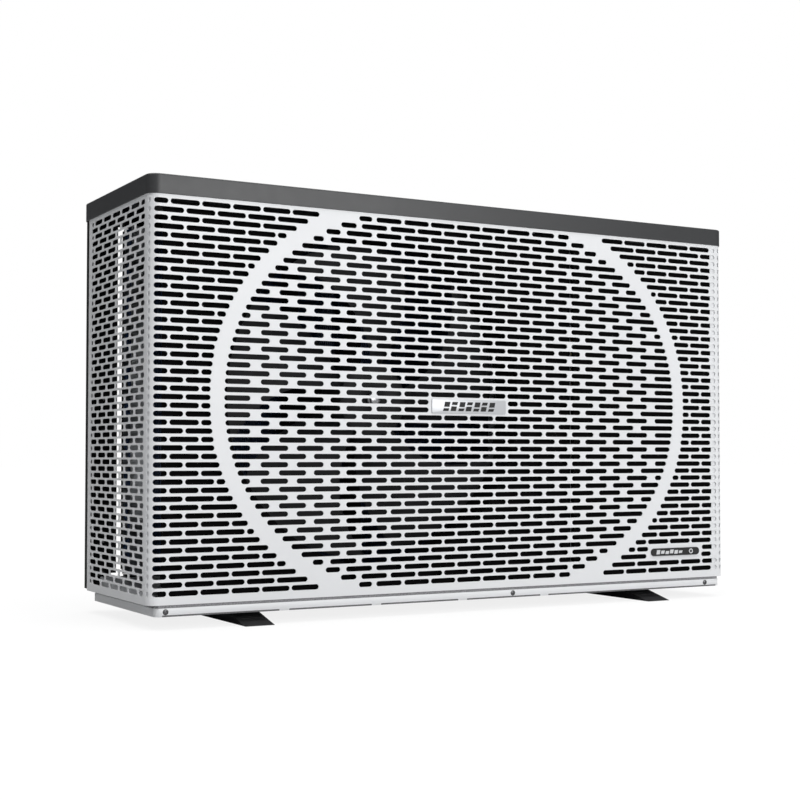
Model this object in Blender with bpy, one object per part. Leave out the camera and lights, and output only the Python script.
"""Side-blowing pool heat pump: a slim cabinet with a fan half and a compressor half.

The origin is on the floor, at the middle of the overall width and depth.
+X is to the right as seen from the front, +Y runs to the back, +Z is up.
Every size is in metres. "Depth" is the distance behind the cabinet's front face.
"""
import math

import bmesh
import bpy
from mathutils import Matrix, Vector

# ---------------------------------------------------------------- overall sizes
CABINET_WIDTH = 1.000
CABINET_HEIGHT = 0.608
SHEET_DEPTH = 0.264
FIT_GAP = 0.0003
LEAST_CORNER = 0.0012

# ---------------------------------------------------------------- feet and base pan
FOOT_HEIGHT = 0.0167
FOOT_WIDTH = 0.045
FOOT_SPACING = 0.692
FOOT_NOSE = 0.018
FOOT_RAMP = 0.041
PAN_WALL = 0.0015
PAN_RIM = 0.0113
PAN_SIDE_INSET = 0.010
PAN_REAR_LAP = 0.002
PAN_CORNER = 0.010
PAN_LEDGE = 0.008
PAN_FLANGE_TOP = 0.052
PAN_FRONT_FLANGE_TOP = 0.042
RIM_SCREW_X = (-0.475, 0.078, 0.457)
RIM_SCREW_RISE = 0.0065
SCREW_HEAD_RADIUS = 0.004
SCREW_SHANK_RADIUS = 0.002
SCREW_LENGTH = 0.006
DRAIN_X = -0.145
DRAIN_DEPTH = 0.150
DRAIN_BORE = 0.006
DRAIN_WALL = 0.003
DRAIN_DROP = 0.012

# ---------------------------------------------------------------- wrap panel and cover
SHEET_WALL = 0.0012
SHEET_BEND = 0.015
SHEET_SEAM = 0.0041
COVER_WALL = 0.0012
COVER_RIM = 0.027
COVER_TUCK = 0.018
COVER_EDGE = 0.0025
COVER_BORDER = 0.026
COVER_RECESS = 0.0015
COVER_LEAST_CORNER = 0.003
COVER_REAR_LAP = 0.0018
BADGE_WIDTH = 0.130
BADGE_HEIGHT = 0.021
BADGE_CENTRE_Z = 0.304
BADGE_THICKNESS = 0.0015
BADGE_CORNER = 0.002
PLAQUE_WIDTH = 0.099
PLAQUE_HEIGHT = 0.012
PLAQUE_X = 0.394
PLAQUE_Z = 0.076
PLAQUE_THICKNESS = 0.002

# ---------------------------------------------------------------- rear frame
REAR_FRAME_DEPTH = 0.0227
POST_WIDTH = 0.041
POST_WALL = 0.002
POST_BEND_STEP = 0.002
POST_BOTTOM = 0.035
RAIL_HEIGHT = 0.021
RAIL_WALL = 0.004
GUARD_DEPTH = 0.006
GUARD_STANDOFF = 0.004
GUARD_BORDER = 0.008
GUARD_BAR = 0.004
GUARD_COLUMNS = 7
GUARD_ROWS = 6
SERVICE_WALL = 0.0012
SERVICE_RETURN = 0.020
SERVICE_CORNER = 0.004

# ---------------------------------------------------------------- air side
PARTITION_X = 0.1932
PARTITION_WALL = 0.0012
INNER_CLEAR = 0.0005
SHROUD_DEPTH = 0.010
SHROUD_WALL = 0.002
SHROUD_LEFT = -0.478
SHROUD_TOP_CLEAR = 0.025
SHROUD_CORNER = 0.006
RING_RADIUS = 0.240
RING_WALL = 0.003
RING_LENGTH = 0.060
FAN_X = -0.145
FAN_Z = 0.312
FAN_TIP_GAP = 0.008
FAN_HUB_RADIUS = 0.055
FAN_HUB_DEPTH = 0.030
FAN_HUB_LENGTH = 0.065
FAN_BLADES = 5
BLADE_SPAN = math.radians(54)
BLADE_SWEEP = math.radians(26)
BLADE_RISE = 0.048
BLADE_THICKNESS = 0.003
BLADE_CAMBER = 0.006
SHAFT_RADIUS = 0.006
SHAFT_FIT = 0.0004
SHAFT_NOSE = 0.003
SHAFT_IN_MOTOR = 0.040
FAN_NUT_RADIUS = 0.011
FAN_NUT_LENGTH = 0.008
FAN_NUT_CLEAR = 0.006
MOTOR_RADIUS = 0.052
MOTOR_LENGTH = 0.070
MOTOR_EDGE = 0.006
MOTOR_BOSS_RADIUS = 0.018
MOTOR_BOSS_LENGTH = 0.015
MOTOR_TO_HUB = 0.015
BRACKET_DEPTH = 0.015
BRACKET_SPREAD = 0.110
BRACKET_RAIL = 0.022
BRACKET_PLATE = 0.140
COIL_DEPTH = 0.226
COIL_THICKNESS = 0.036
COIL_LEFT = -0.447
COIL_BOTTOM = 0.055
COIL_TOP_CLEAR = 0.027
COIL_END_CHANNEL = 0.024
COIL_END_WALL = 0.0015

# ---------------------------------------------------------------- refrigerant side
COMPRESSOR_X = 0.270
COMPRESSOR_DEPTH = 0.115
COMPRESSOR_RADIUS = 0.062
COMPRESSOR_TOP = 0.345
COMPRESSOR_DOME = 0.028
COMPRESSOR_FLAT = 0.032
COMPRESSOR_FOOT_RADIUS = 0.072
COMPRESSOR_FOOT_WALL = 0.003
DISCHARGE_OFFSET = 0.024
GROMMET_RADIUS = 0.010
GROMMET_HEIGHT = 0.017
GROMMET_CIRCLE = 0.058
ACCUMULATOR_DEPTH = 0.215
ACCUMULATOR_RADIUS = 0.027
ACCUMULATOR_BOTTOM = 0.055
ACCUMULATOR_TOP = 0.300
PORT_STUB = 0.020
EXCHANGER_X = 0.410
EXCHANGER_DEPTH = 0.140
EXCHANGER_RADIUS = 0.065
EXCHANGER_TOP = 0.430
EXCHANGER_DOME = 0.022
EXCHANGER_BOSS = 0.030
LIQUID_PORT_Z = 0.090
LIQUID_PORT_RADIUS = 0.010
VALVE_DEPTH = 0.170
VALVE_Z = 0.400
VALVE_RADIUS = 0.013
VALVE_LENGTH = 0.084
VALVE_EDGE = 0.003
VALVE_PORT_PITCH = 0.020
VALVE_PORT_RADIUS = 0.0075
VALVE_TOP_PORT = 0.012
VALVE_BOTTOM_PORT = 0.021
EXPANSION_X = 0.232
EXPANSION_DEPTH = 0.035
EXPANSION_BOTTOM = 0.200
EXPANSION_HEIGHT = 0.045
EXPANSION_BODY = 0.008
EXPANSION_COIL = 0.016
EXPANSION_NECK_WALL = 0.002
EXPANSION_NECK = 0.006
EXPANSION_SHAFT = 0.010
EXPANSION_CHAMFER = 0.002
PIPE_RADIUS = 0.005
LIQUID_PIPE_RADIUS = 0.004
PIPE_BEND = 0.012
LIQUID_PIPE_BEND = 0.008
PIPE_CLEAR = 0.002
PIPE_STRAIGHT = 0.004
COIL_GAS_DROP = 0.003
COIL_GAS_INSET = 0.020
COIL_LIQUID_INSET = 0.0122
COIL_LIQUID_RISE = 0.027
HOT_GAS_RISE = 0.006
HOT_GAS_SHIFT = -0.007
HOT_GAS_SETBACK = 0.025

# ---------------------------------------------------------------- water side
INLET_Z = 0.140
OUTLET_Z = 0.380
WATER_BORE = 0.020
SOCKET_RADIUS = 0.025
SOCKET_FLANGE = 0.036
SOCKET_FLANGE_WALL = 0.005
THREAD_RADIUS = 0.030
THREAD_LENGTH = 0.0205
TAIL_RADIUS = 0.029
TAIL_LENGTH = 0.028
TAIL_BORE = 0.0252
TAIL_STOP = 0.003
NUT_RADIUS = 0.042
NUT_LIP = 0.0065
NUT_GAP = 0.0025
NUT_THREAD_GAP = 0.0004
NUT_LOBES = 8
NUT_LOBE_RADIUS = 0.009
NUT_LOBE_INSET = 0.001

# ---------------------------------------------------------------- electrics
CONTROL_LEFT = 0.205
CONTROL_WIDTH = 0.235
CONTROL_DEPTH = 0.025
CONTROL_REACH = 0.190
CONTROL_BOTTOM = 0.470
CONTROL_HEIGHT = 0.090
CONTROL_WALL = 0.0015
CONTROL_CORNER = 0.003
BOARD_MARGIN = 0.012
BOARD_LIFT = 0.010
BOARD_WALL = 0.0016
TERMINAL_LENGTH = 0.050
TERMINAL_DEPTH = 0.030
TERMINAL_HEIGHT = 0.026
LINER_WALL = 0.005
LINER_RIGHT = 0.484
GLAND_X = 0.262
GLAND_Z = 0.250
GLAND_BORE = 0.005
GLAND_RADIUS = 0.010
GLAND_HEAD = 0.015
GLAND_BEHIND = 0.012
GLAND_HEAD_WALL = 0.006
GLAND_STEP = 0.001
GLAND_CAP = 0.005
GLAND_NOSE = 0.006
GLAND_MOUTH = 0.0075

# ---------------------------------------------------------------- side controller
PANEL_FRONT = 0.090
PANEL_WIDTH = 0.120
PANEL_BOTTOM = 0.420
PANEL_HEIGHT = 0.090
HOUSING_DEPTH = 0.018
HOUSING_BORDER = 0.007
HOUSING_FLOOR = 0.004
HOUSING_CORNER = 0.006
POCKET_CORNER = 0.002
FLAP_WALL = 0.0025
FLAP_INSET = 0.0005
FLAP_CLEAR = 0.0006
KNUCKLE_RADIUS = 0.003
KNUCKLE_STEP = 0.001
PIN_RADIUS = 0.00125
PIN_ENGAGE = 0.003
SCREEN_WALL = 0.0015
SCREEN_MARGIN = 0.010

# ---------------------------------------------------------------- pressure gauge
GAUGE_X = 0.262
GAUGE_Z = 0.470
GAUGE_BODY = 0.028
GAUGE_BEZEL = 0.033
GAUGE_BEZEL_WALL = 0.005
GAUGE_BEHIND = 0.024
GAUGE_FLOOR = 0.004
GAUGE_BORE = 0.0265
DIAL_WALL = 0.001
NEEDLE_LIFT = 0.002
NEEDLE_WALL = 0.0012
NEEDLE_LENGTH = 0.020
NEEDLE_HUB = 0.004
LENS_WALL = 0.002
LENS_RECESS = 0.001
NEEDLE_START = math.radians(-45)

# ---------------------------------------------------------------- worked-out places
HALF_WIDTH = CABINET_WIDTH / 2
POST_DEPTH = SHEET_DEPTH + FIT_GAP
REAR_DEPTH = POST_DEPTH + REAR_FRAME_DEPTH
COVER_REAR = REAR_DEPTH + COVER_WALL + COVER_REAR_LAP
SERVICE_DEPTH = REAR_DEPTH - SERVICE_WALL
FLANGE_DEPTH = REAR_DEPTH + FIT_GAP
THREAD_DEPTH = FLANGE_DEPTH + SOCKET_FLANGE_WALL
TAIL_DEPTH = THREAD_DEPTH + THREAD_LENGTH + FIT_GAP
TAIL_END = TAIL_DEPTH + TAIL_LENGTH
FRONT_Y = FOOT_NOSE - (FOOT_NOSE + TAIL_END) / 2
PAN_BOTTOM = FOOT_HEIGHT + FIT_GAP
PAN_FLOOR = PAN_BOTTOM + PAN_WALL
PAN_RIM_TOP = PAN_BOTTOM + PAN_RIM
PAN_DEPTH = SHEET_DEPTH + PAN_REAR_LAP
SHEET_BOTTOM = PAN_RIM_TOP + SHEET_SEAM
COVER_BOTTOM = CABINET_HEIGHT - COVER_RIM
SHEET_TOP = COVER_BOTTOM + COVER_TUCK
SHROUD_TOP = SHEET_TOP - SHROUD_TOP_CLEAR
COIL_TOP = SHEET_TOP - COIL_TOP_CLEAR
POST_BEND = SHEET_BEND - POST_BEND_STEP
FLOOR_PART_Z = PAN_FLOOR + FIT_GAP
WALL_PART_Z = PAN_FLANGE_TOP + INNER_CLEAR
RAIL_BOTTOM = SHEET_TOP - RAIL_HEIGHT
COIL_BACK = COIL_DEPTH + COIL_THICKNESS
COIL_RIGHT = PARTITION_X - INNER_CLEAR
FIN_LEFT = COIL_LEFT + COIL_END_CHANNEL + FIT_GAP
FIN_RIGHT = COIL_RIGHT - COIL_END_CHANNEL / 2 - FIT_GAP
COMPARTMENT_X = PARTITION_X + PARTITION_WALL + INNER_CLEAR
FAN_RADIUS = RING_RADIUS - FAN_TIP_GAP
HUB_BACK = FAN_HUB_DEPTH + FAN_HUB_LENGTH
BOSS_DEPTH = HUB_BACK + MOTOR_TO_HUB
MOTOR_DEPTH = BOSS_DEPTH + MOTOR_BOSS_LENGTH
MOTOR_BACK = MOTOR_DEPTH + MOTOR_LENGTH
SHAFT_END = MOTOR_DEPTH + SHAFT_IN_MOTOR
EXCHANGER_FACE = EXCHANGER_DEPTH + EXCHANGER_RADIUS + COVER_WALL
PANEL_TOP = PANEL_BOTTOM + PANEL_HEIGHT
HOUSING_GAP = 2 * FIT_GAP
POCKET_TOP = PANEL_TOP - HOUSING_GAP - HOUSING_BORDER
POCKET_BOTTOM = PANEL_BOTTOM + HOUSING_GAP + HOUSING_BORDER
POCKET_FRONT = PANEL_FRONT + HOUSING_GAP + HOUSING_BORDER
POCKET_BACK = PANEL_FRONT + PANEL_WIDTH - HOUSING_GAP - HOUSING_BORDER
FLAP_FACE = HALF_WIDTH - FLAP_INSET
HINGE_X = FLAP_FACE - KNUCKLE_RADIUS
HINGE_Z = POCKET_TOP - KNUCKLE_RADIUS - FLAP_CLEAR

ROUND_STEPS = 24
WIDE_STEPS = 48
SMALL_STEPS = 12
SHARP_ANGLE = math.radians(35)

# Each finish is a colour, a roughness and a metallic value.
WHITE_PAINT = ((0.82, 0.83, 0.84), 0.40, 0.0)
GREY_PAINT = ((0.085, 0.088, 0.092), 0.42, 0.0)
BLACK_PAINT = ((0.012, 0.012, 0.013), 0.50, 0.0)
SILVER_PAINT = ((0.62, 0.63, 0.65), 0.35, 0.2)
GALVANISED = ((0.56, 0.58, 0.60), 0.38, 1.0)
BLACK_PLASTIC = ((0.015, 0.015, 0.016), 0.50, 0.0)
BLACK_RUBBER = ((0.020, 0.020, 0.020), 0.80, 0.0)
BLACK_FOAM = ((0.012, 0.012, 0.012), 0.95, 0.0)
BLUE_FIN = ((0.030, 0.095, 0.230), 0.40, 0.6)
STEEL = ((0.60, 0.60, 0.62), 0.30, 1.0)
COPPER = ((0.72, 0.36, 0.22), 0.30, 1.0)
BRASS = ((0.74, 0.57, 0.28), 0.32, 1.0)
BOARD_GREEN = ((0.020, 0.150, 0.060), 0.45, 0.0)
DIAL_WHITE = ((0.86, 0.86, 0.84), 0.50, 0.0)
NEEDLE_RED = ((0.60, 0.030, 0.020), 0.40, 0.0)
CLEAR_GLASS = ((0.80, 0.85, 0.88), 0.05, 0.0)
SMOKED_PLASTIC = ((0.050, 0.052, 0.058), 0.12, 0.0)
SCREEN_GLASS = ((0.010, 0.012, 0.016), 0.08, 0.0)


# ---------------------------------------------------------------- shaping helpers
def at(x, depth, z):
    """Point at a distance behind the cabinet's front face."""
    return Vector((x, FRONT_Y + depth, z))


def make_material(name, finish):
    """Principled material from a colour, roughness and metallic value."""
    colour, roughness, metallic = finish
    material = bpy.data.materials.new(name)
    material.use_nodes = True
    shader = material.node_tree.nodes["Principled BSDF"]
    shader.inputs["Base Color"].default_value = (*colour, 1.0)
    shader.inputs["Roughness"].default_value = roughness
    shader.inputs["Metallic"].default_value = metallic
    material.diffuse_color = (*colour, 1.0)
    return material


def add_object(name, bm, finish, origin=(0.0, 0.0, 0.0)):
    """Turn a bmesh in world coordinates into an object whose origin is given."""
    bmesh.ops.remove_doubles(bm, verts=bm.verts, dist=1e-7)
    bmesh.ops.recalc_face_normals(bm, faces=bm.faces)
    bmesh.ops.translate(bm, verts=bm.verts, vec=-Vector(origin))
    mesh = bpy.data.meshes.new(name)
    bm.to_mesh(mesh)
    bm.free()
    mesh.shade_smooth()
    mesh.set_sharp_from_angle(angle=SHARP_ANGLE)
    mesh.materials.append(make_material(name, finish))
    obj = bpy.data.objects.new(name, mesh)
    obj.location = origin
    bpy.context.scene.collection.objects.link(obj)
    return obj


def as_tool(obj):
    """Mark an object as a cutter or a guide that is no part of the product."""
    obj.hide_render = True
    obj.display_type = "WIRE"
    return obj


def combine(target, tool, operation):
    """Join or cut a piece with another closed shape."""
    modifier = target.modifiers.new(tool.name, "BOOLEAN")
    modifier.operation = operation
    modifier.solver = "EXACT"
    modifier.object = as_tool(tool)


def cut(target, tool):
    """Take a shape away from a piece."""
    combine(target, tool, "DIFFERENCE")


def join(target, tool):
    """Fuse a shape onto a piece."""
    combine(target, tool, "UNION")


def to_world(plane, first, second, along):
    """Place a flat outline's point: plane names the axis that it is extruded along."""
    if plane == "X":
        return at(along, first, second)
    if plane == "Y":
        return at(first, along, second)
    return at(first, second, along)


def prism(name, outline, plane, span, finish, origin=(0.0, 0.0, 0.0)):
    """Extrude a flat outline between two places on the plane's axis."""
    bm = bmesh.new()
    start, end = span
    ring = [bm.verts.new(to_world(plane, a, b, start)) for a, b in outline]
    face = bm.faces.new(ring)
    grown = bmesh.ops.extrude_face_region(bm, geom=[face])
    lifted = [item for item in grown["geom"] if isinstance(item, bmesh.types.BMVert)]
    move = to_world(plane, 0.0, 0.0, end) - to_world(plane, 0.0, 0.0, start)
    bmesh.ops.translate(bm, verts=lifted, vec=move)
    return add_object(name, bm, finish, origin)


def block(name, x_span, depth_span, z_span, finish):
    """Rectangular block between pairs of x, depth and z values."""
    (x0, x1), (d0, d1) = x_span, depth_span
    return prism(name, [(x0, d0), (x1, d0), (x1, d1), (x0, d1)], "Z", z_span, finish)


def rounded_rect(first_span, second_span, radius, steps=4):
    """Outline of a rectangle with round corners, anticlockwise."""
    (a0, a1), (b0, b1) = first_span, second_span
    corners = ((a1, b0, -90), (a1, b1, 0), (a0, b1, 90), (a0, b0, 180))
    points = []
    for a, b, start in corners:
        centre_a = a - radius if a == a1 else a + radius
        centre_b = b - radius if b == b1 else b + radius
        for step in range(steps + 1):
            angle = math.radians(start + 90 * step / steps)
            points.append((centre_a + radius * math.cos(angle), centre_b + radius * math.sin(angle)))
    return points


def circle(radius, steps, centre=(0.0, 0.0)):
    """Points round a circle."""
    turns = [2 * math.pi * step / steps for step in range(steps)]
    return [(centre[0] + radius * math.cos(turn), centre[1] + radius * math.sin(turn)) for turn in turns]


def quarter(radius, steps=5):
    """Points of a quarter circle from its side to its far end."""
    turns = [math.pi / 2 * step / steps for step in range(steps + 1)]
    return [(radius * math.cos(turn), radius * math.sin(turn)) for turn in turns]


def loft(name, loops, finish):
    """Closed skin through a stack of loops with equal counts, capped at both ends."""
    bm = bmesh.new()
    rings = [[bm.verts.new(point) for point in loop] for loop in loops]
    count = len(rings[0])
    for lower, upper in zip(rings, rings[1:]):
        for index in range(count):
            following = (index + 1) % count
            bm.faces.new((lower[index], lower[following], upper[following], upper[index]))
    bm.faces.new(rings[0])
    bm.faces.new(rings[-1])
    return add_object(name, bm, finish)


def tray(name, x_span, depth_span, corner, profile, finish, steps=4):
    """Shell whose section is a list of (inset, z) steps from a rounded rectangle."""
    loops = []
    for inset, z in profile:
        sides = (x_span[0] + inset, x_span[1] - inset)
        ends = (depth_span[0] + inset, depth_span[1] - inset)
        outline = rounded_rect(sides, ends, max(corner - inset, LEAST_CORNER), steps)
        loops.append([at(x, depth, z) for x, depth in outline])
    return loft(name, loops, finish)


def turned(name, profile, axis, centre, finish, steps=ROUND_STEPS, origin=(0.0, 0.0, 0.0)):
    """Spin a section of (radius, along) points about an axis through a centre.

    For axis Z, along is a height. For axis Y, along is a depth. For axis X, along is an x.
    A section that doesn't start and end on the axis is closed into a ring.
    """
    directions = {
        "X": (Vector((1, 0, 0)), Vector((0, 0, 1))),
        "Y": (Vector((0, 1, 0)), Vector((0, 0, 1))),
        "Z": (Vector((0, 0, 1)), Vector((1, 0, 0))),
    }
    along_axis, outward = directions[axis]
    start = FRONT_Y if axis == "Y" else 0.0
    base = Vector(centre)
    base = base - along_axis * base.dot(along_axis)
    bm = bmesh.new()
    points = [base + along_axis * (start + along) + outward * radius for radius, along in profile]
    verts = [bm.verts.new(point) for point in points]
    pairs = list(zip(verts, verts[1:]))
    if profile[0][0] > 0 or profile[-1][0] > 0:
        pairs.append((verts[-1], verts[0]))
    edges = [bm.edges.new(pair) for pair in pairs]
    bmesh.ops.spin(bm, geom=verts + edges, cent=base, axis=along_axis, angle=2 * math.pi,
                   steps=steps, use_merge=True, use_duplicate=False)
    bmesh.ops.remove_doubles(bm, verts=bm.verts, dist=1e-6)
    bmesh.ops.dissolve_degenerate(bm, dist=1e-7, edges=bm.edges)
    return add_object(name, bm, finish, origin)


def rod(name, axis, centre, radius, span, finish, steps=ROUND_STEPS):
    """Solid round bar along an axis."""
    profile = [(0.0, span[0]), (radius, span[0]), (radius, span[1]), (0.0, span[1])]
    return turned(name, profile, axis, centre, finish, steps)


def bent_route(points, radius, steps=5):
    """Pipe centre line through corner points, each corner rounded by an arc."""
    points = [Vector(point) for point in points]
    route = [points[0]]
    for before, corner, after in zip(points, points[1:], points[2:]):
        back = (before - corner).normalized()
        ahead = (after - corner).normalized()
        half = back.angle(ahead) / 2
        setback = radius / math.tan(half)
        centre = corner + (back + ahead).normalized() * (radius / math.sin(half))
        first = corner + back * setback - centre
        last = corner + ahead * setback - centre
        normal = first.cross(last).normalized()
        sweep = first.angle(last)
        for step in range(steps + 1):
            route.append(centre + Matrix.Rotation(sweep * step / steps, 3, normal) @ first)
    route.append(points[-1])
    return route


def pipe(name, points, radius, finish, bend=PIPE_BEND):
    """Bent metal tube as a closed round bar with filled ends."""
    route = bent_route(points, bend)
    curve = bpy.data.curves.new(name, "CURVE")
    curve.dimensions = "3D"
    curve.bevel_depth = radius
    curve.bevel_resolution = 2
    curve.use_fill_caps = True
    spline = curve.splines.new("POLY")
    spline.points.add(len(route) - 1)
    for point, place in zip(spline.points, route):
        point.co = (*place, 1.0)
    curve.materials.append(make_material(name, finish))
    obj = bpy.data.objects.new(name, curve)
    bpy.context.scene.collection.objects.link(obj)
    return obj


def pivot(name, place):
    """Empty that marks a joint's place."""
    empty = bpy.data.objects.new(name, None)
    empty.location = place
    bpy.context.scene.collection.objects.link(empty)
    return empty


def carry(empty, *pieces):
    """Parent pieces to an empty and keep them where they are."""
    bpy.context.view_layer.update()
    for piece in pieces:
        piece.parent = empty
        piece.matrix_parent_inverse = empty.matrix_world.inverted()


# ---------------------------------------------------------------- feet and base pan
def make_feet():
    """Two rubber bars with sloping ends, longer than the cabinet is deep."""
    nose, tail = -FOOT_NOSE, SHEET_DEPTH + REAR_FRAME_DEPTH + FOOT_NOSE
    side = [(nose, 0.0), (tail, 0.0), (tail - FOOT_RAMP, FOOT_HEIGHT), (nose + FOOT_RAMP, FOOT_HEIGHT)]
    for name, side_sign in (("foot_left", -1), ("foot_right", 1)):
        centre = side_sign * FOOT_SPACING / 2
        prism(name, side, "X", (centre - FOOT_WIDTH / 2, centre + FOOT_WIDTH / 2), BLACK_RUBBER)


def make_base_pan():
    """Pressed tray: an outer rim, a ledge that leaves a shadow line, and an inner flange."""
    inner = PAN_LEDGE + PAN_WALL
    profile = [
        (0.0, PAN_BOTTOM), (0.0, PAN_RIM_TOP), (PAN_LEDGE, PAN_RIM_TOP), (PAN_LEDGE, PAN_FLANGE_TOP),
        (inner, PAN_FLANGE_TOP), (inner, PAN_RIM_TOP - PAN_WALL), (PAN_WALL, PAN_RIM_TOP - PAN_WALL),
        (PAN_WALL, PAN_FLOOR),
    ]
    side = HALF_WIDTH - PAN_SIDE_INSET
    pan = tray("base_pan", (-side, side), (0.0, PAN_DEPTH), PAN_CORNER, profile, WHITE_PAINT)
    cut(pan, block("cut_front_flange", (-HALF_WIDTH, HALF_WIDTH), (PAN_LEDGE / 2, 2 * inner),
                   (PAN_FRONT_FLANGE_TOP, PAN_FLANGE_TOP + PAN_WALL), WHITE_PAINT))
    drain_hole = DRAIN_BORE + DRAIN_WALL + FIT_GAP
    cut(pan, rod("cut_drain", "Z", at(DRAIN_X, DRAIN_DEPTH, 0.0), drain_hole,
                 (PAN_BOTTOM - PAN_WALL, PAN_FLOOR + PAN_WALL), WHITE_PAINT, SMALL_STEPS))
    height = PAN_BOTTOM + RIM_SCREW_RISE
    for index, x in enumerate(RIM_SCREW_X):
        cut(pan, rod(f"cut_rim_screw_{index}", "Y", (x, 0.0, height), SCREW_SHANK_RADIUS + FIT_GAP,
                     (-PAN_WALL, 2 * PAN_WALL), WHITE_PAINT, SMALL_STEPS))


def make_rim_screws():
    """Pan-head screws through the front rim."""
    height = PAN_BOTTOM + RIM_SCREW_RISE
    front = -SCREW_HEAD_RADIUS / 2 - FIT_GAP
    profile = [
        (0.0, front), (SCREW_HEAD_RADIUS * 0.7, front), (SCREW_HEAD_RADIUS, front / 2 - FIT_GAP),
        (SCREW_HEAD_RADIUS, -FIT_GAP), (SCREW_SHANK_RADIUS, -FIT_GAP), (SCREW_SHANK_RADIUS, SCREW_LENGTH),
        (0.0, SCREW_LENGTH),
    ]
    for index, x in enumerate(RIM_SCREW_X):
        turned(f"rim_screw_{index + 1}", profile, "Y", (x, 0.0, height), STEEL, SMALL_STEPS)


def make_drain_spout():
    """Flanged nozzle pushed down through the base pan's drain hole."""
    outer = DRAIN_BORE + DRAIN_WALL
    flange = outer + DRAIN_WALL
    top = FLOOR_PART_Z + DRAIN_WALL
    profile = [
        (DRAIN_BORE, top), (flange, top), (flange, FLOOR_PART_Z), (outer, FLOOR_PART_Z),
        (outer, PAN_BOTTOM - DRAIN_DROP), (DRAIN_BORE, PAN_BOTTOM - DRAIN_DROP),
    ]
    turned("drain_spout", profile, "Z", at(DRAIN_X, DRAIN_DEPTH, 0.0), BLACK_PLASTIC, SMALL_STEPS)


# ---------------------------------------------------------------- outer skin
def bend_points(side_sign, radius, centre_inset, start, end, steps=5):
    """Arc of a vertical bend in plan, between two angles in degrees."""
    points = []
    for step in range(steps + 1):
        angle = math.radians(start + (end - start) * step / steps)
        x = HALF_WIDTH - centre_inset + radius * math.cos(angle)
        points.append((side_sign * x, centre_inset - radius * math.sin(angle)))
    return points


def make_wrap_panel():
    """One sheet bent round the front and both sides, with a cut-out for the controller."""
    inner = SHEET_BEND - SHEET_WALL
    outline = [(-HALF_WIDTH, SHEET_DEPTH)]
    outline += bend_points(-1, SHEET_BEND, SHEET_BEND, 0, 90)
    outline += bend_points(1, SHEET_BEND, SHEET_BEND, 90, 0)
    outline += [(HALF_WIDTH, SHEET_DEPTH), (HALF_WIDTH - SHEET_WALL, SHEET_DEPTH)]
    outline += bend_points(1, inner, SHEET_BEND, 0, 90)
    outline += bend_points(-1, inner, SHEET_BEND, 90, 0)
    outline.append((-HALF_WIDTH + SHEET_WALL, SHEET_DEPTH))
    panel = prism("wrap_panel", outline, "Z", (SHEET_BOTTOM, SHEET_TOP), WHITE_PAINT)
    opening = rounded_rect((PANEL_FRONT, PANEL_FRONT + PANEL_WIDTH), (PANEL_BOTTOM, PANEL_TOP),
                           HOUSING_CORNER)
    span = (HALF_WIDTH - 3 * SHEET_WALL, HALF_WIDTH + 2 * SHEET_WALL)
    cut(panel, prism("cut_controller", opening, "X", span, WHITE_PAINT))


def make_top_cover():
    """Shallow lid with a deep rim, round top edges and a slightly sunken top."""
    side = HALF_WIDTH + FIT_GAP + COVER_WALL
    front = -FIT_GAP - COVER_WALL
    corner = SHEET_BEND + FIT_GAP + COVER_WALL
    edge = COVER_EDGE
    profile = [(0.0, COVER_BOTTOM)]
    for step in range(4):
        angle = math.radians(30 * step)
        profile.append((edge * (1 - math.cos(angle)), CABINET_HEIGHT - edge + edge * math.sin(angle)))
    profile += [
        (COVER_BORDER, CABINET_HEIGHT), (COVER_BORDER + 2 * COVER_RECESS, CABINET_HEIGHT - COVER_RECESS),
    ]
    roof = CABINET_HEIGHT - COVER_RECESS - COVER_WALL
    profile = [(COVER_WALL, COVER_BOTTOM)] + profile
    inner = [(COVER_WALL, roof)]
    loops = []
    for inset, z in inner + profile:
        sides = (-side + inset, side - inset)
        ends = (front + inset, COVER_REAR - inset)
        outline = rounded_rect(sides, ends, max(corner - inset, COVER_LEAST_CORNER), 5)
        loops.append([at(x, depth, z) for x, depth in outline])
    loft("top_cover", loops, GREY_PAINT)


def make_badges():
    """Blank name plate at the middle of the front and a small pill-shaped plaque low on the right."""
    plate = rounded_rect((-BADGE_WIDTH / 2, BADGE_WIDTH / 2),
                         (BADGE_CENTRE_Z - BADGE_HEIGHT / 2, BADGE_CENTRE_Z + BADGE_HEIGHT / 2),
                         BADGE_CORNER, 3)
    prism("badge_plate", plate, "Y", (-FIT_GAP - BADGE_THICKNESS, -FIT_GAP), SILVER_PAINT)
    pill = rounded_rect((PLAQUE_X - PLAQUE_WIDTH / 2, PLAQUE_X + PLAQUE_WIDTH / 2),
                        (PLAQUE_Z - PLAQUE_HEIGHT / 2, PLAQUE_Z + PLAQUE_HEIGHT / 2),
                        PLAQUE_HEIGHT / 2.01, 6)
    prism("small_plaque", pill, "Y", (-FIT_GAP - PLAQUE_THICKNESS, -FIT_GAP), BLACK_PLASTIC)


# ---------------------------------------------------------------- rear frame
def make_rear_posts():
    """Black angle posts at the two rear corners."""
    centre_x, centre_depth = HALF_WIDTH - POST_BEND, REAR_DEPTH - POST_BEND
    inner_bend = POST_BEND - POST_WALL
    half = [(HALF_WIDTH, POST_DEPTH)]
    half += [(centre_x + a, centre_depth + b) for a, b in quarter(POST_BEND)]
    half += [(HALF_WIDTH - POST_WIDTH, REAR_DEPTH), (HALF_WIDTH - POST_WIDTH, REAR_DEPTH - POST_WALL)]
    half += [(centre_x + a, centre_depth + b) for a, b in reversed(quarter(inner_bend))]
    half.append((HALF_WIDTH - POST_WALL, POST_DEPTH))
    for name, sign in (("rear_post_left", -1), ("rear_post_right", 1)):
        prism(name, [(sign * x, depth) for x, depth in half], "Z", (POST_BOTTOM, SHEET_TOP), BLACK_PAINT)


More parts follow.
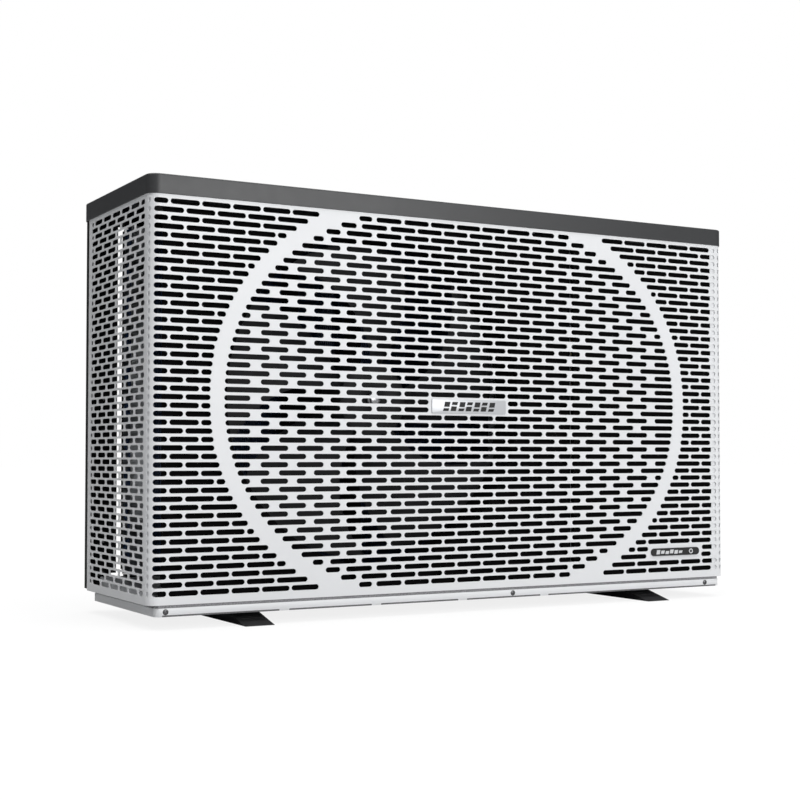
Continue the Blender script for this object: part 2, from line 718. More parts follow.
def make_rear_top_rail():
    """Black rail that joins the two posts under the cover."""
    half = HALF_WIDTH - POST_WIDTH - FIT_GAP
    outline = [
        (REAR_DEPTH - RAIL_WALL, RAIL_BOTTOM), (REAR_DEPTH, RAIL_BOTTOM), (REAR_DEPTH, SHEET_TOP),
        (REAR_DEPTH - SERVICE_RETURN, SHEET_TOP), (REAR_DEPTH - SERVICE_RETURN, SHEET_TOP - RAIL_WALL),
        (REAR_DEPTH - RAIL_WALL, SHEET_TOP - RAIL_WALL),
    ]
    prism("rear_top_rail", outline, "X", (-half, half), BLACK_PAINT)


def make_rear_guard():
    """Coil guard: a frame with a grid of bars, made as one plate with windows."""
    x0, x1 = COIL_LEFT, COIL_RIGHT
    z0, z1 = COIL_BOTTOM + GUARD_BAR, COIL_TOP
    front = COIL_BACK + GUARD_STANDOFF
    pitch_x = (x1 - x0 - 2 * GUARD_BORDER + GUARD_BAR) / GUARD_COLUMNS
    pitch_z = (z1 - z0 - 2 * GUARD_BORDER + GUARD_BAR) / GUARD_ROWS
    xs, zs = [x0], [z0]
    for column in range(GUARD_COLUMNS):
        left = x0 + GUARD_BORDER + column * pitch_x
        xs += [left, left + pitch_x - GUARD_BAR]
    for row in range(GUARD_ROWS):
        low = z0 + GUARD_BORDER + row * pitch_z
        zs += [low, low + pitch_z - GUARD_BAR]
    xs.append(x1)
    zs.append(z1)
    bm = bmesh.new()
    grid = [[bm.verts.new(at(x, front, z)) for x in xs] for z in zs]
    faces = []
    for row in range(len(zs) - 1):
        for column in range(len(xs) - 1):
            if row % 2 and column % 2:
                continue
            low, high = grid[row], grid[row + 1]
            faces.append(bm.faces.new((low[column], low[column + 1], high[column + 1], high[column])))
    grown = bmesh.ops.extrude_face_region(bm, geom=faces)
    lifted = [item for item in grown["geom"] if isinstance(item, bmesh.types.BMVert)]
    bmesh.ops.translate(bm, verts=lifted, vec=(0.0, GUARD_DEPTH, 0.0))
    add_object("rear_guard", bm, BLACK_PAINT)


def make_service_panel():
    """Removable rear panel: a shallow tray that the water, gauge and cable fittings pass through."""
    x0, x1 = COMPARTMENT_X, HALF_WIDTH - POST_WIDTH - FIT_GAP
    z0, z1 = POST_BOTTOM, RAIL_BOTTOM - FIT_GAP
    near, far = REAR_DEPTH - SERVICE_RETURN, REAR_DEPTH
    sections = [(SERVICE_WALL, far - SERVICE_WALL), (SERVICE_WALL, near), (0.0, near), (0.0, far)]
    loops = []
    for inset, depth in sections:
        outline = rounded_rect((x0 + inset, x1 - inset), (z0 + inset, z1 - inset),
                               SERVICE_CORNER - inset, 2)
        loops.append([at(x, depth, z) for x, z in outline])
    panel = loft("service_panel", loops, WHITE_PAINT)
    holes = [
        ("cut_inlet", EXCHANGER_X, INLET_Z, SOCKET_RADIUS),
        ("cut_outlet", EXCHANGER_X, OUTLET_Z, SOCKET_RADIUS),
        ("cut_gauge", GAUGE_X, GAUGE_Z, GAUGE_BODY),
        ("cut_gland", GLAND_X, GLAND_Z, GLAND_RADIUS),
    ]
    for name, x, z, radius in holes:
        cut(panel, rod(name, "Y", (x, 0.0, z), radius + 2 * FIT_GAP,
                       (far - 3 * SERVICE_WALL, far + 2 * SERVICE_WALL), WHITE_PAINT))


# ---------------------------------------------------------------- air side
def make_partition():
    """Sheet between the fan half and the compressor half, with two pipe holes."""
    span = (PARTITION_X, PARTITION_X + PARTITION_WALL)
    depths = (SHROUD_DEPTH, SHEET_DEPTH)
    near, far = depths
    outline = [(near, WALL_PART_Z), (far, WALL_PART_Z), (far, SHROUD_TOP), (near, SHROUD_TOP)]
    plate = prism("partition_plate", outline, "X", span, GALVANISED)
    crossings = ((coil_gas_route(), PIPE_RADIUS), (coil_liquid_route(), LIQUID_PIPE_RADIUS))
    for index, (route, radius) in enumerate(crossings):
        cut(plate, rod(f"cut_partition_{index}", "X", route[-1], radius + 4 * FIT_GAP,
                       (span[0] - PARTITION_WALL, span[1] + PARTITION_WALL), GALVANISED, SMALL_STEPS))


def make_front_liner():
    """Black acoustic foam behind the front sheet of the compressor half."""
    front = SHEET_WALL + 6 * FIT_GAP
    block("front_liner", (COMPARTMENT_X, LINER_RIGHT), (front, front + LINER_WALL),
          (WALL_PART_Z, SHROUD_TOP), BLACK_FOAM)


def make_fan_shroud():
    """Plate with a round opening and a ring that runs back round the fan."""
    plate = rounded_rect((SHROUD_LEFT, COIL_RIGHT), (WALL_PART_Z, SHROUD_TOP), SHROUD_CORNER, 2)
    depths = (SHROUD_DEPTH, SHROUD_DEPTH + SHROUD_WALL)
    shroud = prism("fan_shroud", plate, "Y", depths, BLACK_PLASTIC)
    centre = (FAN_X, 0.0, FAN_Z)
    outer = RING_RADIUS + RING_WALL
    join(shroud, rod("guide_ring", "Y", centre, outer, (SHROUD_DEPTH, SHROUD_DEPTH + RING_LENGTH),
                     BLACK_PLASTIC, WIDE_STEPS))
    cut(shroud, rod("cut_ring", "Y", centre, RING_RADIUS,
                    (SHROUD_DEPTH - SHROUD_WALL, SHROUD_DEPTH + RING_LENGTH + SHROUD_WALL),
                    BLACK_PLASTIC, WIDE_STEPS))


def blade_point(radial, chord, side):
    """Point on a swept blade: radial and chord run from 0 to 1, side is -1 or 1."""
    root = FAN_HUB_RADIUS * 0.9
    radius = root + (FAN_RADIUS - root) * radial
    spread = BLADE_SPAN * (0.72 + 0.28 * radial)
    angle = (chord - 0.5) * spread + BLADE_SWEEP * radial ** 1.5
    camber = BLADE_CAMBER * math.sin(math.pi * chord)
    rise = BLADE_RISE * (1.15 - 0.35 * radial)
    thickness = BLADE_THICKNESS * (1 - 0.35 * radial) * (0.35 + 0.65 * math.sin(math.pi * chord))
    depth = FAN_HUB_DEPTH + FAN_HUB_LENGTH / 2 + (0.5 - chord) * rise - camber + side * thickness / 2
    return at(FAN_X + radius * math.cos(angle), depth, FAN_Z + radius * math.sin(angle))


def make_blade(index):
    """One closed blade, turned to its place round the hub."""
    rows, columns = 5, 6
    bm = bmesh.new()
    sheets = []
    for side in (-1, 1):
        sheets.append([[bm.verts.new(blade_point(r / rows, c / columns, side)) for c in range(columns + 1)]
                       for r in range(rows + 1)])
    for sheet in sheets:
        for r in range(rows):
            for c in range(columns):
                bm.faces.new((sheet[r][c], sheet[r][c + 1], sheet[r + 1][c + 1], sheet[r + 1][c]))
    front, back = sheets
    border = [(0, c) for c in range(columns)] + [(r, columns) for r in range(rows)]
    border += [(rows, c) for c in range(columns, 0, -1)] + [(r, 0) for r in range(rows, 0, -1)]
    for (r0, c0), (r1, c1) in zip(border, border[1:] + border[:1]):
        bm.faces.new((front[r0][c0], front[r1][c1], back[r1][c1], back[r0][c0]))
    turn = Matrix.Rotation(2 * math.pi * index / FAN_BLADES, 3, "Y")
    bmesh.ops.rotate(bm, verts=bm.verts, cent=at(FAN_X, 0.0, FAN_Z), matrix=turn)
    return add_object(f"guide_blade_{index}", bm, BLACK_PLASTIC)


def make_fan():
    """Axial fan, its shaft and the nut that holds it, on one turning empty."""
    centre = (FAN_X, 0.0, FAN_Z)
    axis_place = at(FAN_X, FAN_HUB_DEPTH, FAN_Z)
    bore = SHAFT_RADIUS + SHAFT_FIT
    seat = FAN_HUB_DEPTH + FAN_NUT_LENGTH + FIT_GAP
    recess = FAN_NUT_RADIUS + FAN_NUT_CLEAR
    profile = [
        (bore, seat), (recess, seat), (recess, FAN_HUB_DEPTH), (FAN_HUB_RADIUS * 0.8, FAN_HUB_DEPTH),
        (FAN_HUB_RADIUS, FAN_HUB_DEPTH + 0.010), (FAN_HUB_RADIUS, HUB_BACK), (bore, HUB_BACK),
    ]
    fan = turned("fan", profile, "Y", centre, BLACK_PLASTIC, origin=axis_place)
    for index in range(FAN_BLADES):
        join(fan, make_blade(index))
    shaft_start = FAN_HUB_DEPTH - SHAFT_NOSE
    shaft = rod("fan_shaft", "Y", centre, SHAFT_RADIUS, (shaft_start, SHAFT_END), STEEL, SMALL_STEPS)
    hexagon = [(FAN_X + a, FAN_Z + b) for a, b in circle(FAN_NUT_RADIUS, 6)]
    nut = prism("fan_nut", hexagon, "Y", (FAN_HUB_DEPTH, FAN_HUB_DEPTH + FAN_NUT_LENGTH), STEEL)
    cut(nut, rod("cut_fan_nut", "Y", centre, bore, (shaft_start, HUB_BACK), STEEL, SMALL_STEPS))
    carry(pivot("fan_axis", axis_place), fan, shaft, nut)


def make_motor():
    """Fan motor with a blind bearing bore for the shaft."""
    bore = SHAFT_RADIUS + SHAFT_FIT
    bore_end = SHAFT_END + 2 * SHAFT_FIT
    edge = MOTOR_EDGE
    profile = [
        (0.0, bore_end), (bore, bore_end), (bore, BOSS_DEPTH), (MOTOR_BOSS_RADIUS, BOSS_DEPTH),
        (MOTOR_BOSS_RADIUS, MOTOR_DEPTH), (MOTOR_RADIUS - edge, MOTOR_DEPTH),
        (MOTOR_RADIUS, MOTOR_DEPTH + edge), (MOTOR_RADIUS, MOTOR_BACK - edge),
        (MOTOR_RADIUS - edge, MOTOR_BACK), (0.0, MOTOR_BACK),
    ]
    turned("fan_motor", profile, "Y", (FAN_X, 0.0, FAN_Z), GREY_PAINT)


def make_motor_bracket():
    """Two upright rails with a cross plate behind the motor, as one folded piece."""
    outer = (BRACKET_SPREAD + BRACKET_RAIL) / 2
    inner = (BRACKET_SPREAD - BRACKET_RAIL) / 2
    low, high = WALL_PART_Z, SHROUD_TOP
    plate_low, plate_high = FAN_Z - BRACKET_PLATE / 2, FAN_Z + BRACKET_PLATE / 2
    half = [
        (inner, plate_low), (inner, low), (outer, low), (outer, high), (inner, high), (inner, plate_high),
    ]
    outline = [(FAN_X + a, z) for a, z in half] + [(FAN_X - a, z) for a, z in reversed(half)]
    depth = MOTOR_BACK + FIT_GAP
    prism("motor_bracket", outline, "Y", (depth, depth + BRACKET_DEPTH), GALVANISED)


def make_coil():
    """Finned evaporator block between two folded end plates."""
    block("coil_fins", (FIN_LEFT, FIN_RIGHT), (COIL_DEPTH, COIL_BACK), (COIL_BOTTOM, COIL_TOP), BLUE_FIN)
    ends = (
        ("coil_end_left", FIN_LEFT - FIT_GAP, COIL_LEFT, -1),
        ("coil_end_right", FIN_RIGHT + FIT_GAP, COIL_RIGHT, 1),
    )
    wall = COIL_END_WALL
    for name, web, tip, sign in ends:
        behind = web + sign * wall
        outline = [
            (web, COIL_DEPTH), (tip, COIL_DEPTH), (tip, COIL_DEPTH + wall), (behind, COIL_DEPTH + wall),
            (behind, COIL_BACK - wall), (tip, COIL_BACK - wall), (tip, COIL_BACK), (web, COIL_BACK),
        ]
        prism(name, outline, "Z", (COIL_BOTTOM, COIL_TOP), GALVANISED)


# ---------------------------------------------------------------- refrigerant side
def valve_port(position):
    """Mouth of the reversing valve's lower stub: -1 coil, 0 suction, 1 exchanger."""
    x = COMPRESSOR_X + position * VALVE_PORT_PITCH
    return at(x, VALVE_DEPTH, VALVE_Z - VALVE_RADIUS - VALVE_BOTTOM_PORT - FIT_GAP)


def coil_gas_route():
    """From the reversing valve through the partition to the coil's end plate."""
    start = valve_port(-1)
    low = start.z - PIPE_BEND - COIL_GAS_DROP
    depth = COIL_DEPTH + COIL_THICKNESS * 0.5
    turn_x = COMPARTMENT_X + COIL_GAS_INSET
    end_x = FIN_RIGHT + 2 * FIT_GAP + COIL_END_WALL
    return [start, at(start.x, VALVE_DEPTH, low), at(turn_x, VALVE_DEPTH, low), at(turn_x, depth, low),
            at(end_x, depth, low)]


def coil_liquid_route():
    """From the expansion valve over the compressor to the coil's end plate."""
    start = at(EXPANSION_X, EXPANSION_DEPTH, EXPANSION_BOTTOM + EXPANSION_HEIGHT + FIT_GAP)
    high = COMPRESSOR_TOP + COIL_LIQUID_RISE
    turn_x = COMPARTMENT_X + COIL_LIQUID_INSET
    depth = COIL_DEPTH + COIL_THICKNESS * 0.3
    end_x = FIN_RIGHT + 2 * FIT_GAP + COIL_END_WALL
    return [start, at(EXPANSION_X, EXPANSION_DEPTH, high), at(turn_x, EXPANSION_DEPTH, high),
            at(turn_x, depth, high), at(end_x, depth, high)]


def make_compressor():
    """Hermetic compressor with a welded foot ring, on three rubber grommets."""
    centre = at(COMPRESSOR_X, COMPRESSOR_DEPTH, 0.0)
    foot = FLOOR_PART_Z + GROMMET_HEIGHT + FIT_GAP
    foot_top = foot + COMPRESSOR_FOOT_WALL
    shoulder = COMPRESSOR_TOP - COMPRESSOR_DOME
    profile = [(0.0, foot), (COMPRESSOR_FOOT_RADIUS, foot), (COMPRESSOR_FOOT_RADIUS, foot_top),
               (COMPRESSOR_RADIUS, foot_top), (COMPRESSOR_RADIUS, shoulder)]
    for step in range(1, 4):
        angle = math.radians(30 * step)
        radius = COMPRESSOR_FLAT + (COMPRESSOR_RADIUS - COMPRESSOR_FLAT) * math.cos(angle)
        profile.append((radius, shoulder + COMPRESSOR_DOME * math.sin(angle)))
    profile.append((0.0, COMPRESSOR_TOP))
    turned("compressor", profile, "Z", centre, BLACK_PAINT)
    for index in range(3):
        angle = math.radians(90 + 120 * index)
        place = at(COMPRESSOR_X + GROMMET_CIRCLE * math.cos(angle),
                   COMPRESSOR_DEPTH + GROMMET_CIRCLE * math.sin(angle), 0.0)
        waist = GROMMET_RADIUS * 0.8
        third = GROMMET_HEIGHT / 3
        section = [(0.0, FLOOR_PART_Z), (GROMMET_RADIUS, FLOOR_PART_Z),
                   (GROMMET_RADIUS, FLOOR_PART_Z + third), (waist, FLOOR_PART_Z + third),
                   (waist, FLOOR_PART_Z + 2 * third),
                   (GROMMET_RADIUS, FLOOR_PART_Z + 2 * third),
                   (GROMMET_RADIUS, FLOOR_PART_Z + GROMMET_HEIGHT), (0.0, FLOOR_PART_Z + GROMMET_HEIGHT)]
        turned(f"grommet_{index + 1}", section, "Z", place, BLACK_RUBBER, SMALL_STEPS)


def make_accumulator():
    """Suction accumulator beside the compressor, with a stub on top."""
    centre = at(COMPRESSOR_X, ACCUMULATOR_DEPTH, 0.0)
    edge = 0.010
    profile = [
        (0.0, ACCUMULATOR_BOTTOM), (ACCUMULATOR_RADIUS - edge, ACCUMULATOR_BOTTOM),
        (ACCUMULATOR_RADIUS, ACCUMULATOR_BOTTOM + edge), (ACCUMULATOR_RADIUS, ACCUMULATOR_TOP - edge),
        (ACCUMULATOR_RADIUS - edge, ACCUMULATOR_TOP), (VALVE_PORT_RADIUS, ACCUMULATOR_TOP),
        (VALVE_PORT_RADIUS, ACCUMULATOR_TOP + PORT_STUB), (0.0, ACCUMULATOR_TOP + PORT_STUB),
    ]
    turned("accumulator", profile, "Z", centre, BLACK_PAINT, SMALL_STEPS)


def make_exchanger():
    """Upright water heat exchanger with two water bosses and a liquid port."""
    centre = at(EXCHANGER_X, EXCHANGER_DEPTH, 0.0)
    radius = EXCHANGER_RADIUS
    edge = EXCHANGER_DOME
    profile = [(0.0, FLOOR_PART_Z), (radius, FLOOR_PART_Z), (radius, EXCHANGER_TOP - edge)]
    for step in range(1, 4):
        angle = math.radians(30 * step)
        profile.append((radius - edge + edge * math.cos(angle),
                        EXCHANGER_TOP - edge + edge * math.sin(angle)))
    profile.append((0.0, EXCHANGER_TOP))
    shell = turned("heat_exchanger", profile, "Z", centre, BLACK_PLASTIC)
    for name, z in (("guide_boss_inlet", INLET_Z), ("guide_boss_outlet", OUTLET_Z)):
        join(shell, rod(name, "Y", (EXCHANGER_X, 0.0, z), EXCHANGER_BOSS,
                        (EXCHANGER_DEPTH, EXCHANGER_FACE), BLACK_PLASTIC, ROUND_STEPS))
    front = EXCHANGER_DEPTH - radius - PAN_WALL
    join(shell, rod("guide_port_liquid", "Y", (EXCHANGER_X, 0.0, LIQUID_PORT_Z), LIQUID_PORT_RADIUS,
                    (front, EXCHANGER_DEPTH), BLACK_PLASTIC, SMALL_STEPS))


def make_reversing_valve():
    """Four-way reversing valve: a brass barrel with one stub above and three below."""
    centre = at(0.0, VALVE_DEPTH, VALVE_Z)
    edge = VALVE_EDGE
    x0, x1 = COMPRESSOR_X - VALVE_LENGTH / 2, COMPRESSOR_X + VALVE_LENGTH / 2
    profile = [(0.0, x0), (VALVE_RADIUS - edge, x0), (VALVE_RADIUS, x0 + edge), (VALVE_RADIUS, x1 - edge),
               (VALVE_RADIUS - edge, x1), (0.0, x1)]
    body = turned("reversing_valve", profile, "X", centre, BRASS, SMALL_STEPS)
    top = VALVE_Z + VALVE_RADIUS + VALVE_TOP_PORT
    join(body, rod("guide_stub_top", "Z", at(COMPRESSOR_X, VALVE_DEPTH, 0.0), VALVE_PORT_RADIUS,
                   (VALVE_Z, top), BRASS, SMALL_STEPS))
    for position in (-1, 0, 1):
        mouth = valve_port(position)
        join(body, rod(f"guide_stub_{position + 2}", "Z", mouth, VALVE_PORT_RADIUS,
                       (mouth.z + FIT_GAP, VALVE_Z), BRASS, SMALL_STEPS))


def make_expansion_valve():
    """Electronic expansion valve: a brass body under a round coil."""
    low, high = EXPANSION_BOTTOM, EXPANSION_BOTTOM + EXPANSION_HEIGHT
    neck, seat = LIQUID_PIPE_RADIUS + EXPANSION_NECK_WALL, low + EXPANSION_NECK + EXPANSION_SHAFT
    profile = [(0.0, low), (neck, low), (EXPANSION_BODY, low + EXPANSION_NECK), (EXPANSION_BODY, seat),
               (EXPANSION_COIL, seat), (EXPANSION_COIL, high - EXPANSION_NECK),
               (neck, high - EXPANSION_NECK + EXPANSION_CHAMFER), (neck, high), (0.0, high)]
    turned("expansion_valve", profile, "Z", at(EXPANSION_X, EXPANSION_DEPTH, 0.0), BRASS, SMALL_STEPS)


def make_pipes():
    """Copper pipes of the refrigerant circuit."""
    top_port = VALVE_Z + VALVE_RADIUS + VALVE_TOP_PORT + FIT_GAP
    apex = top_port + PIPE_BEND + PIPE_STRAIGHT
    start_x = COMPRESSOR_X + DISCHARGE_OFFSET
    pipe("discharge_pipe", [
        at(start_x, COMPRESSOR_DEPTH, COMPRESSOR_TOP + FIT_GAP), at(start_x, COMPRESSOR_DEPTH, apex),
        at(COMPRESSOR_X, VALVE_DEPTH, apex), at(COMPRESSOR_X, VALVE_DEPTH, top_port),
    ], PIPE_RADIUS, COPPER)

    suction = valve_port(0)
    low = COMPRESSOR_TOP + PIPE_RADIUS + PIPE_CLEAR
    pipe("suction_pipe", [
        suction, at(COMPRESSOR_X, VALVE_DEPTH, low), at(COMPRESSOR_X, ACCUMULATOR_DEPTH, low),
        at(COMPRESSOR_X, ACCUMULATOR_DEPTH, ACCUMULATOR_TOP + PORT_STUB + FIT_GAP),
    ], PIPE_RADIUS, COPPER)

    hot = valve_port(1)
    riser_x = (COMPRESSOR_X + EXCHANGER_X) / 2 + HOT_GAS_SHIFT
    riser_depth = VALVE_DEPTH + HOT_GAS_SETBACK
    crown = apex + HOT_GAS_RISE
    pipe("hot_gas_pipe", [
        hot, at(hot.x, VALVE_DEPTH, low), at(riser_x, riser_depth, low),
        at(riser_x, riser_depth, crown), at(EXCHANGER_X, EXCHANGER_DEPTH, crown),
        at(EXCHANGER_X, EXCHANGER_DEPTH, EXCHANGER_TOP + FIT_GAP),
    ], PIPE_RADIUS, COPPER)

    pipe("coil_gas_pipe", coil_gas_route(), PIPE_RADIUS, COPPER)

    port = EXCHANGER_DEPTH - EXCHANGER_RADIUS - PAN_WALL - FIT_GAP
    pipe("liquid_pipe", [
        at(EXCHANGER_X, port, LIQUID_PORT_Z), at(EXCHANGER_X, EXPANSION_DEPTH, LIQUID_PORT_Z),
        at(EXPANSION_X, EXPANSION_DEPTH, LIQUID_PORT_Z),
        at(EXPANSION_X, EXPANSION_DEPTH, EXPANSION_BOTTOM - FIT_GAP),
    ], LIQUID_PIPE_RADIUS, COPPER)
    pipe("coil_liquid_pipe", coil_liquid_route(), LIQUID_PIPE_RADIUS, COPPER, bend=LIQUID_PIPE_BEND)


# ---------------------------------------------------------------- water side
def make_water_connection(name, z):
    """Socket through the service panel, with a loose tail held by a turning union nut."""
    centre = (EXCHANGER_X, 0.0, z)
    start = EXCHANGER_FACE + FIT_GAP
    thread_end = THREAD_DEPTH + THREAD_LENGTH
    turned(f"{name}_socket", [
        (WATER_BORE, start), (SOCKET_RADIUS, start), (SOCKET_RADIUS, FLANGE_DEPTH),
        (SOCKET_FLANGE, FLANGE_DEPTH), (SOCKET_FLANGE, THREAD_DEPTH), (THREAD_RADIUS, THREAD_DEPTH),
        (THREAD_RADIUS, thread_end), (WATER_BORE, thread_end),
    ], "Y", centre, BLACK_PLASTIC)

    collar = THREAD_RADIUS - FIT_GAP
    collar_end = TAIL_DEPTH + SOCKET_FLANGE_WALL
    turned(f"{name}_tail", [
        (WATER_BORE, TAIL_DEPTH), (collar, TAIL_DEPTH), (collar, collar_end),
        (TAIL_RADIUS - FIT_GAP, collar_end), (TAIL_RADIUS - FIT_GAP, TAIL_END), (TAIL_BORE, TAIL_END),
        (TAIL_BORE, TAIL_DEPTH + TAIL_STOP), (WATER_BORE, TAIL_DEPTH + TAIL_STOP),
    ], "Y", centre, WHITE_PAINT)

    nut_start = THREAD_DEPTH + NUT_GAP
    lip_start = collar_end + FIT_GAP
    nut_end = lip_start + NUT_LIP
    thread_bore = THREAD_RADIUS + NUT_THREAD_GAP
    lip_bore = TAIL_RADIUS + FIT_GAP
    body = NUT_RADIUS - NUT_LOBE_RADIUS / 2
    place = at(EXCHANGER_X, nut_start, z)
    nut = turned(f"{name}_union_nut", [
        (thread_bore, nut_start), (body, nut_start), (body, nut_end), (lip_bore, nut_end),
        (lip_bore, lip_start), (thread_bore, lip_start),
    ], "Y", centre, BLACK_PLASTIC, origin=place)
    for lobe in range(NUT_LOBES):
        angle = 2 * math.pi * lobe / NUT_LOBES
        reach = NUT_RADIUS - NUT_LOBE_RADIUS / 2
        x, height = EXCHANGER_X + reach * math.cos(angle), z + reach * math.sin(angle)
        join(nut, rod(f"guide_{name}_lobe_{lobe}", "Y", (x, 0.0, height), NUT_LOBE_RADIUS / 2,
                      (nut_start + NUT_LOBE_INSET, nut_end - 2 * NUT_LOBE_INSET), BLACK_PLASTIC, 8))
    carry(pivot(f"{name}_nut_axis", place), nut)


# ---------------------------------------------------------------- electrics
def make_control_box():
    """Open steel box for the electronics, its lid, the board and the terminal block."""
    x0, x1 = CONTROL_LEFT, CONTROL_LEFT + CONTROL_WIDTH
    d0, d1 = CONTROL_DEPTH, CONTROL_DEPTH + CONTROL_REACH
    top = CONTROL_BOTTOM + CONTROL_HEIGHT
    floor = CONTROL_BOTTOM + CONTROL_WALL
    tray("control_box", (x0, x1), (d0, d1), CONTROL_CORNER, [
        (0.0, CONTROL_BOTTOM), (0.0, top), (CONTROL_WALL, top), (CONTROL_WALL, floor),
    ], GALVANISED, steps=2)
    lid = rounded_rect((x0, x1), (d0, d1), CONTROL_CORNER, 2)
    prism("control_box_lid", lid, "Z", (top + FIT_GAP, top + FIT_GAP + CONTROL_WALL), GALVANISED)

    terminal_x = x1 - BOARD_MARGIN - TERMINAL_LENGTH
    board_z = floor + BOARD_LIFT
    block("inverter_board", (x0 + BOARD_MARGIN, terminal_x - BOARD_MARGIN),
          (d0 + BOARD_MARGIN, d1 - BOARD_MARGIN), (board_z, board_z + BOARD_WALL), BOARD_GREEN)
    terminal_z = floor + FIT_GAP
    low, step, high = TERMINAL_HEIGHT * 0.4, TERMINAL_DEPTH * 0.3, TERMINAL_HEIGHT
    d = d0 + 2 * BOARD_MARGIN
    outline = [
        (d, terminal_z), (d + TERMINAL_DEPTH, terminal_z), (d + TERMINAL_DEPTH, terminal_z + low),
        (d + TERMINAL_DEPTH - step, terminal_z + high), (d + step, terminal_z + high), (d, terminal_z + low),
    ]
    prism("terminal_block", outline, "X", (terminal_x, terminal_x + TERMINAL_LENGTH), BLACK_PLASTIC)


def make_cable_gland():
    """Cable gland through the service panel, with an empty bore for the supply cable."""
    inside, outside = SERVICE_DEPTH - GLAND_BEHIND, FLANGE_DEPTH
    head_end = outside + GLAND_HEAD_WALL
    cap = head_end + GLAND_STEP
    nose, end = cap + GLAND_CAP, cap + GLAND_CAP + GLAND_NOSE
    profile = [
        (GLAND_BORE, inside), (GLAND_RADIUS, inside), (GLAND_RADIUS, outside), (GLAND_HEAD, outside),
        (GLAND_HEAD, head_end), (GLAND_RADIUS, cap), (GLAND_RADIUS, nose), (GLAND_MOUTH, end),
        (GLAND_BORE, end),
    ]
    turned("cable_gland", profile, "Y", (GLAND_X, 0.0, GLAND_Z), BLACK_PLASTIC, SMALL_STEPS)


# ---------------------------------------------------------------- side controller
def make_controller():
    """Flush housing in the right side, with a screen and a top-hinged flap."""
    gap = HOUSING_GAP
    depths = (PANEL_FRONT + gap, PANEL_FRONT + PANEL_WIDTH - gap)
    heights = (PANEL_BOTTOM + gap, PANEL_TOP - gap)
    outline = rounded_rect(depths, heights, HOUSING_CORNER - gap)
    housing = prism("controller_housing", outline, "X", (HALF_WIDTH - HOUSING_DEPTH, HALF_WIDTH),
                    BLACK_PLASTIC)
    pocket = rounded_rect((POCKET_FRONT, POCKET_BACK), (POCKET_BOTTOM, POCKET_TOP), POCKET_CORNER, 2)
    pocket_floor = HALF_WIDTH - HOUSING_DEPTH + HOUSING_FLOOR
    cut(housing, prism("cut_pocket", pocket, "X", (pocket_floor, HALF_WIDTH + HOUSING_FLOOR), BLACK_PLASTIC))
    pin_span = (POCKET_FRONT - PIN_ENGAGE, POCKET_BACK + PIN_ENGAGE)
    hinge = (HINGE_X, 0.0, HINGE_Z)
    pin_bore = PIN_RADIUS + FIT_GAP
    cut(housing, rod("cut_pin_holes", "Y", hinge, pin_bore,
                     (pin_span[0] - FIT_GAP, pin_span[1] + FIT_GAP), BLACK_PLASTIC, SMALL_STEPS))
    rod("flap_pin", "Y", hinge, PIN_RADIUS, pin_span, STEEL, SMALL_STEPS)

    screen = rounded_rect((POCKET_FRONT + SCREEN_MARGIN, POCKET_BACK - SCREEN_MARGIN),
                          (POCKET_BOTTOM + SCREEN_MARGIN, POCKET_TOP - SCREEN_MARGIN), POCKET_CORNER, 2)
    screen_x = pocket_floor + FIT_GAP
    prism("controller_screen", screen, "X", (screen_x, screen_x + SCREEN_WALL), SCREEN_GLASS)

    span = (POCKET_FRONT + FLAP_CLEAR, POCKET_BACK - FLAP_CLEAR)
    place = at(HINGE_X, (span[0] + span[1]) / 2, HINGE_Z)
    flap_bottom = POCKET_BOTTOM + FLAP_CLEAR
    section = [(FLAP_FACE, flap_bottom), (FLAP_FACE, HINGE_Z)]
    for step in range(1, 12):
        angle = math.radians(270 * step / 12)
        section.append((HINGE_X + KNUCKLE_RADIUS * math.cos(angle),
                        HINGE_Z + KNUCKLE_RADIUS * math.sin(angle)))
    back = FLAP_FACE - FLAP_WALL
    section += [(HINGE_X, HINGE_Z - KNUCKLE_RADIUS), (back, HINGE_Z - KNUCKLE_RADIUS - KNUCKLE_STEP),
                (back, flap_bottom)]
    flap = prism("controller_flap", section, "Y", span, SMOKED_PLASTIC, origin=place)
    cut(flap, rod("cut_flap_bore", "Y", hinge, pin_bore, (span[0] - FLAP_WALL, span[1] + FLAP_WALL),
                  SMOKED_PLASTIC, SMALL_STEPS))
    carry(pivot("flap_axis", place), flap)


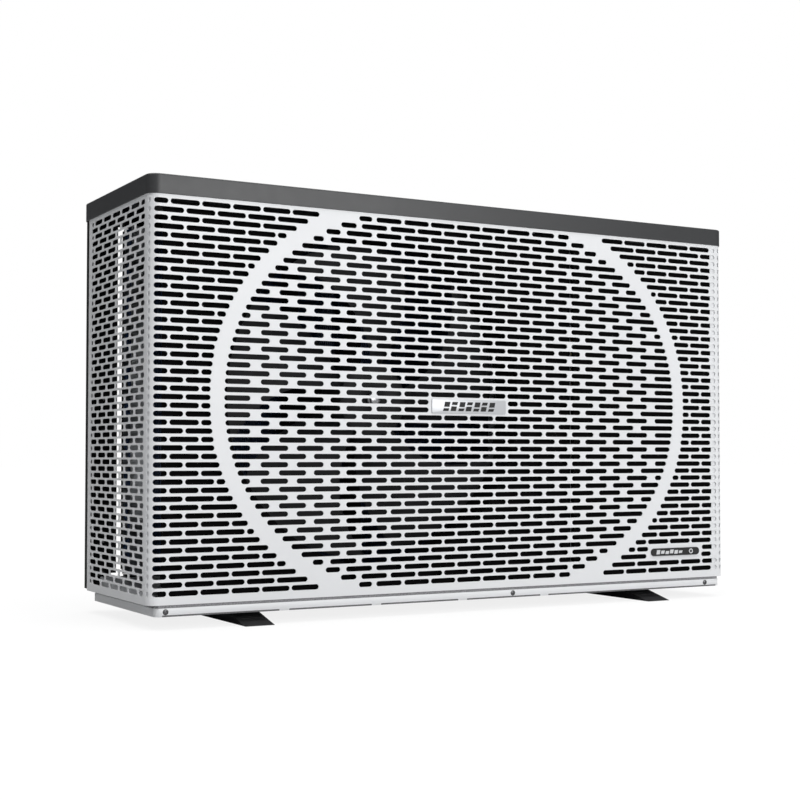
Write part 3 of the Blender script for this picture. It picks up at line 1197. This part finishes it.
# ---------------------------------------------------------------- pressure gauge
def make_gauge():
    """Pressure gauge on the service panel: cup, dial, needle and lens."""
    centre = (GAUGE_X, 0.0, GAUGE_Z)
    back = SERVICE_DEPTH - GAUGE_BEHIND
    face = FLANGE_DEPTH + GAUGE_BEZEL_WALL
    turned("gauge_case", [
        (0.0, back), (GAUGE_BODY, back), (GAUGE_BODY, FLANGE_DEPTH), (GAUGE_BEZEL, FLANGE_DEPTH),
        (GAUGE_BEZEL, face), (GAUGE_BORE, face), (GAUGE_BORE, back + GAUGE_FLOOR), (0.0, back + GAUGE_FLOOR),
    ], "Y", centre, BLACK_PLASTIC)
    dial = back + GAUGE_FLOOR + FIT_GAP
    rod("gauge_dial", "Y", centre, GAUGE_BORE - FIT_GAP, (dial, dial + DIAL_WALL), DIAL_WHITE)
    lens = face - LENS_RECESS - LENS_WALL
    rod("gauge_lens", "Y", centre, GAUGE_BORE - FIT_GAP, (lens, lens + LENS_WALL), CLEAR_GLASS)

    needle_depth = dial + DIAL_WALL + NEEDLE_LIFT
    place = at(GAUGE_X, needle_depth, GAUGE_Z)
    outline = []
    for step in range(9):
        angle = math.radians(30 + 300 * step / 8)
        outline.append((NEEDLE_HUB * math.cos(angle), NEEDLE_HUB * math.sin(angle)))
    outline += [(NEEDLE_LENGTH, -NEEDLE_WALL / 3), (NEEDLE_LENGTH, NEEDLE_WALL / 3)]
    turn = Matrix.Rotation(NEEDLE_START, 2)
    points = [turn @ Vector(point) for point in outline]
    needle = prism("gauge_needle", [(GAUGE_X + p.x, GAUGE_Z + p.y) for p in points], "Y",
                   (needle_depth, needle_depth + NEEDLE_WALL), NEEDLE_RED, origin=place)
    carry(pivot("needle_axis", place), needle)


def build():
    """Make every piece of the heat pump."""
    for obj in list(bpy.data.objects):
        bpy.data.objects.remove(obj, do_unlink=True)
    make_feet()
    make_base_pan()
    make_rim_screws()
    make_drain_spout()
    make_wrap_panel()
    make_top_cover()
    make_badges()
    make_rear_posts()
    make_rear_top_rail()
    make_rear_guard()
    make_service_panel()
    make_partition()
    make_front_liner()
    make_fan_shroud()
    make_fan()
    make_motor()
    make_motor_bracket()
    make_coil()
    make_compressor()
    make_accumulator()
    make_exchanger()
    make_reversing_valve()
    make_expansion_valve()
    make_pipes()
    make_water_connection("inlet", INLET_Z)
    make_water_connection("outlet", OUTLET_Z)
    make_control_box()
    make_cable_gland()
    make_controller()
    make_gauge()


build()
